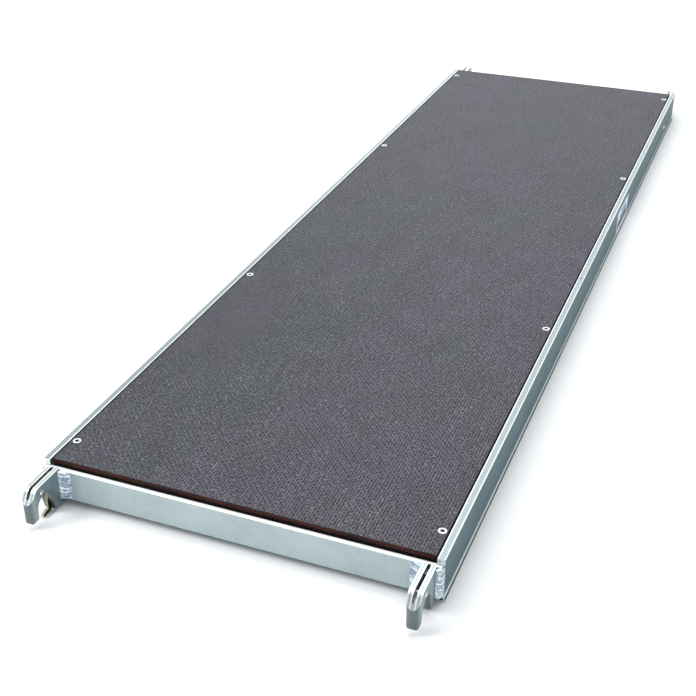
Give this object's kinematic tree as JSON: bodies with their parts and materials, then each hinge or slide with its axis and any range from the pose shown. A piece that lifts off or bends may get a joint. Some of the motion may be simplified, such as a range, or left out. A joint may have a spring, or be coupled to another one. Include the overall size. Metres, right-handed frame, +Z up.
{
  "type": "scaffold plank",
  "caption": "Anti-slip plywood deck in a welded aluminium frame, hooked over two scaffold tubes, with gravity catches against lift-off.",
  "frame": {"origin": "on the ground under the middle of the deck, at the underside of the side rails", "axes": "+Z up, +Y along the plank towards its far end, +X across it to its right"},
  "size_m": [0.6, 2.1286, 0.07],
  "materials": {
    "deck_board": "dark phenolic film with an anti-slip mesh, sealed red-brown edges",
    "rail_aluminium": "mill finish, fine drawn lines along the rail",
    "beam_aluminium": "satin mill finish",
    "hook_aluminium": "sawn and tumbled aluminium",
    "weld_aluminium": "bright rippled weld bead",
    "rivet_aluminium": "plain",
    "pin_steel": "bright zinc plate",
    "catch_steel": "yellow zinc plate",
    "label": "gloss printed film, no text"
  },
  "bodies": {
    "frame": {"deck_panel": "deck_board", "side_rail_left": "rail_aluminium", "side_rail_right": "rail_aluminium", "end_beam_near": "beam_aluminium", "end_beam_far": "beam_aluminium", "beam_welds": "weld_aluminium", "cross_member_welds": "weld_aluminium", "deck_rivets": "rivet_aluminium", "web_rivet": "rivet_aluminium", "label_sticker": "label", "cross_member_1": "beam_aluminium", "cross_member_2": "beam_aluminium", "cross_member_3": "beam_aluminium", "hook_near_left": "hook_aluminium", "hook_pin_near_left": "pin_steel", "hook_weld_near_left": "weld_aluminium", "hook_near_right": "hook_aluminium", "hook_pin_near_right": "pin_steel", "hook_weld_near_right": "weld_aluminium", "hook_far_left": "hook_aluminium", "hook_pin_far_left": "pin_steel", "hook_weld_far_left": "weld_aluminium", "hook_far_right": "hook_aluminium", "hook_pin_far_right": "pin_steel", "hook_weld_far_right": "weld_aluminium"},
    "catch_near_left": {"catch_near_left": "catch_steel"},
    "catch_far_right": {"catch_far_right": "catch_steel"}
  },
  "joints": [
    {"name": "catch_pivot_near_left", "type": "hinge", "parent": "frame", "child": "catch_near_left", "pos_m": [-0.28, -1.0383, 0.0514], "axis": [1, 0, 0], "range_deg": [0, 22]},
    {"name": "catch_pivot_far_right", "type": "hinge", "parent": "frame", "child": "catch_far_right", "pos_m": [0.28, 1.0383, 0.0514], "axis": [-1, 0, 0], "range_deg": [0, 22]}
  ]
}
